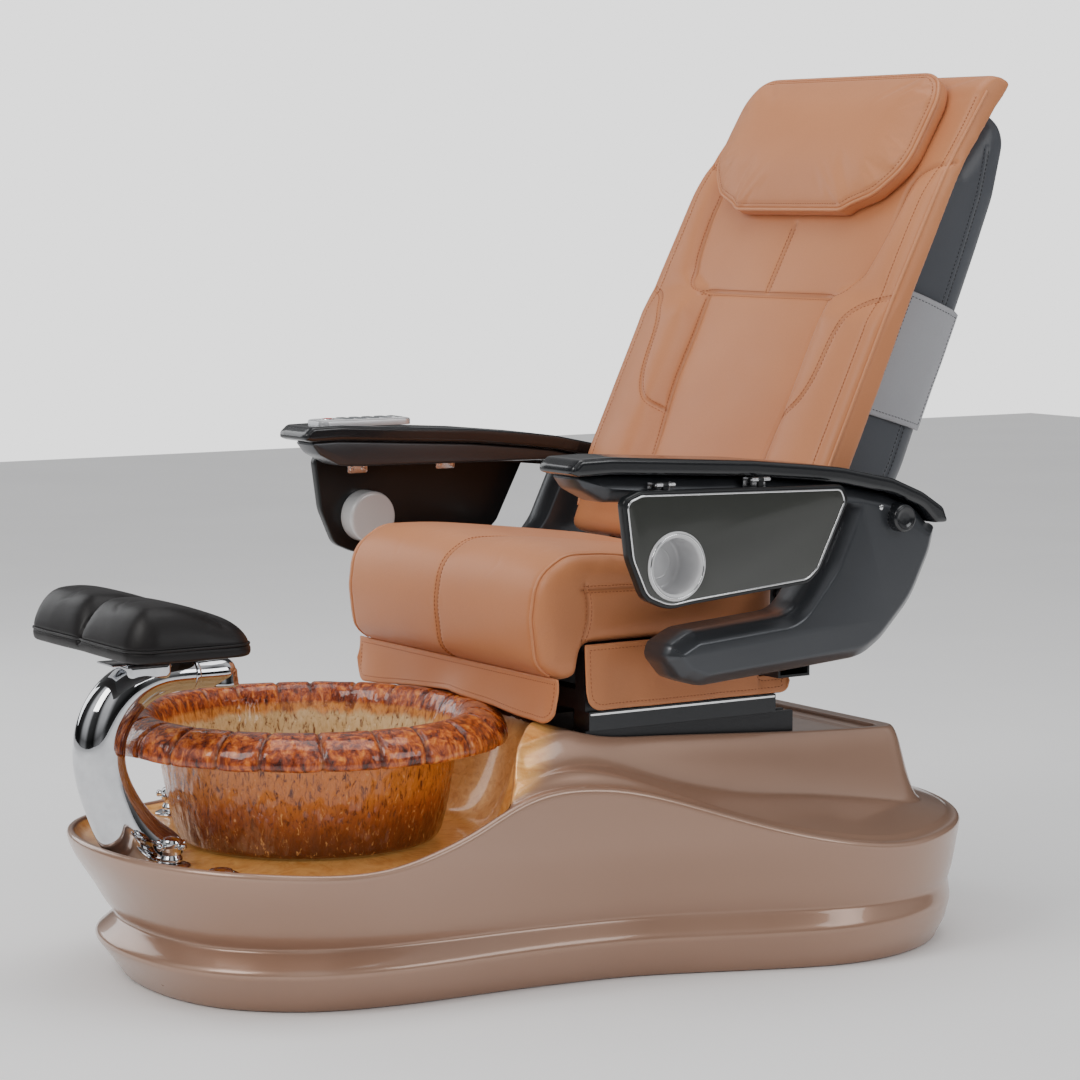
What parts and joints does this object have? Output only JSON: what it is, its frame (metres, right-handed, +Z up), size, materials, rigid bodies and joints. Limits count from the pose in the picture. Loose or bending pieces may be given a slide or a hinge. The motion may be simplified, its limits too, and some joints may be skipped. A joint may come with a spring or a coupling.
{
  "type": "pedicure spa chair",
  "caption": "Pedicure spa chair: moulded base with glass foot bowl, chrome foot-rest pillar with sprayer, sliding reclining leather massage seat, arms with swing-up trays.",
  "frame": {"origin": "on the floor under the middle of the whole chair", "axes": "+Z up, the sitter faces -Y, +X to the sitter's left"},
  "size_m": [0.9419, 1.5107, 1.3585],
  "materials": {
    "base_gloss": "metallic taupe gel coat, glossy",
    "steel_black": "black powder coat",
    "rail_steel": "zinc plated",
    "bowl_glass": "amber hammered cast glass",
    "seal": "moulded rubber",
    "chrome": "polished chrome",
    "jet_plastic": "moulded",
    "black_plastic": "moulded black",
    "hose": "braided hose",
    "brass_part": "cast brass",
    "actuator": "anodised",
    "rod_steel": "ground steel",
    "tan_leather": "tan upholstery leather",
    "black_leather": "black upholstery leather",
    "grey_leather": "slate vinyl over shell",
    "pocket_leather": "light grey vinyl",
    "arm_graphite": "graphite satin",
    "arm_cap": "gloss black",
    "tray_face": "dark olive black gloss",
    "cup_white": "white",
    "hinge_steel": "nickel plated",
    "panel_silver": "silver keypad",
    "key_red": "red key"
  },
  "bodies": {
    "root": {"base_shell": "base_gloss", "access_panel": "base_gloss", "base_subframe": "steel_black", "leveling_feet": "rail_steel", "basin_bowl": "bowl_glass", "bowl_seal_ring": "seal", "drain_fitting": "chrome", "jet_housing": "jet_plastic", "jet_motor": "black_plastic", "footrest_pillar": "chrome", "footrest_bracket": "steel_black", "valve_escutcheons": "chrome", "valve_bodies": "brass_part", "button_bezels": "chrome", "supply_manifold": "brass_part", "control_box": "black_plastic", "lower_rails": "steel_black", "slide_actuator": "actuator"},
    "drain_plug": {"drain_stopper": "chrome"},
    "impeller": {"jet_impeller": "jet_plastic"},
    "sprayer": {"sprayer_head": "chrome", "sprayer_hose": "hose"},
    "toggle": {"sprayer_toggle": "black_plastic"},
    "footrest": {"footrest_plate": "steel_black", "footrest_pad": "black_leather"},
    "hot_knob": {"hot_valve_knob": "chrome"},
    "cold_knob": {"cold_valve_knob": "chrome"},
    "jet_push": {"jet_button": "chrome"},
    "drain_push": {"drain_button": "chrome"},
    "seat": {"upper_rails": "rail_steel", "slide_rod": "rod_steel", "seat_frame": "steel_black", "seat_cushion": "tan_leather", "front_skirt": "tan_leather", "side_skirts": "tan_leather", "arm_crossbar": "steel_black", "recline_actuator": "actuator"},
    "recliner_rod": {"recline_rod": "rod_steel"},
    "back": {"back_frame": "steel_black", "back_cushion": "tan_leather", "back_shell": "grey_leather", "head_pillow": "tan_leather", "side_pockets": "pocket_leather"},
    "massage": {"massage_carriage": "black_plastic"},
    "rollers": {"massage_rollers": "black_plastic"},
    "arm_left": {"arm_frame_left": "arm_graphite", "arm_cap_left": "arm_cap", "tray_hinges_left": "hinge_steel"},
    "arm_right": {"arm_frame_right": "arm_graphite", "arm_cap_right": "arm_cap", "tray_hinges_right": "hinge_steel", "control_panel": "panel_silver"},
    "lock_left": {"arm_knob_left": "black_plastic"},
    "lock_right": {"arm_knob_right": "black_plastic"},
    "side_tray_left": {"tray_left": "tray_face", "cup_holder_left": "cup_white"},
    "side_tray_right": {"tray_right": "tray_face", "cup_holder_right": "cup_white"},
    "power": {"power_key": "key_red"}
  },
  "joints": [
    {"name": "seat_slide", "type": "slide", "parent": "root", "child": "seat", "axis": [0, 1, 0], "range_m": [0, 0.12]},
    {"name": "back_recline", "type": "hinge", "parent": "seat", "child": "back", "pos_m": [0, 0.324, 0.545], "axis": [-1, 0, 0], "range_deg": [-8, 25]},
    {"name": "recline_rod_stroke", "type": "slide", "parent": "seat", "child": "recliner_rod", "axis": [0, -1, 0], "range_m": [-0.012, 0.032]},
    {"name": "massage_travel", "type": "slide", "parent": "back", "child": "massage", "axis": [0, 0.4152, 0.9097], "range_m": [0, 0.27]},
    {"name": "roller_spin", "type": "hinge", "parent": "massage", "child": "rollers", "pos_m": [0, 0.485, 0.842], "axis": [1, 0, 0], "continuous": true},
    {"name": "arm_left_width", "type": "slide", "parent": "seat", "child": "arm_left", "axis": [1, 0, 0], "range_m": [0, 0.04]},
    {"name": "arm_right_width", "type": "slide", "parent": "seat", "child": "arm_right", "axis": [-1, 0, 0], "range_m": [0, 0.04]},
    {"name": "arm_lock_left_turn", "type": "hinge", "parent": "arm_left", "child": "lock_left", "pos_m": [0.4312, 0.407, 0.676], "axis": [1, 0, 0], "range_deg": [0, 180]},
    {"name": "arm_lock_right_turn", "type": "hinge", "parent": "arm_right", "child": "lock_right", "pos_m": [-0.4312, 0.407, 0.676], "axis": [-1, 0, 0], "range_deg": [0, 180]},
    {"name": "tray_left_swing", "type": "hinge", "parent": "arm_left", "child": "side_tray_left", "pos_m": [0.445, 0.039, 0.7475], "axis": [0, -1, 0], "range_deg": [0, 90]},
    {"name": "tray_right_swing", "type": "hinge", "parent": "arm_right", "child": "side_tray_right", "pos_m": [-0.445, 0.039, 0.7475], "axis": [0, 1, 0], "range_deg": [0, 90]},
    {"name": "power_key_press", "type": "slide", "parent": "arm_right", "child": "power", "axis": [0, 0, -1], "range_m": [0, 0.001], "stiffness_N_per_m": 400},
    {"name": "footrest_tilt", "type": "hinge", "parent": "root", "child": "footrest", "pos_m": [0, -0.651, 0.4965], "axis": [1, 0, 0], "range_deg": [-10, 10]},
    {"name": "sprayer_pull", "type": "slide", "parent": "root", "child": "sprayer", "axis": [0, 1, 0], "range_m": [0, 0.06]},
    {"name": "sprayer_toggle_tilt", "type": "hinge", "parent": "sprayer", "child": "toggle", "pos_m": [0, -0.552, 0.4825], "axis": [1, 0, 0], "range_deg": [-8, 8]},
    {"name": "hot_valve_turn", "type": "hinge", "parent": "root", "child": "hot_knob", "pos_m": [0.09, -0.651, 0.22], "axis": [0, 0, 1], "range_deg": [0, 90]},
    {"name": "cold_valve_turn", "type": "hinge", "parent": "root", "child": "cold_knob", "pos_m": [-0.276, -0.466, 0.22], "axis": [0, 0, 1], "range_deg": [0, 90]},
    {"name": "jet_button_press", "type": "slide", "parent": "root", "child": "jet_push", "axis": [0, 0, -1], "range_m": [0, 0.003], "stiffness_N_per_m": 600},
    {"name": "drain_button_press", "type": "slide", "parent": "root", "child": "drain_push", "axis": [0, 0, -1], "range_m": [0, 0.003], "stiffness_N_per_m": 600},
    {"name": "drain_stopper_lift", "type": "slide", "parent": "root", "child": "drain_plug", "axis": [0, 0, 1], "range_m": [0, 0.008]},
    {"name": "jet_impeller_spin", "type": "hinge", "parent": "root", "child": "impeller", "pos_m": [0.095, -0.316, 0.215], "axis": [0, 0, 1], "continuous": true}
  ],
  "couplings": [
    {"joint": "recline_rod_stroke", "follows": "back_recline", "m_per_rad": 0.067}
  ]
}
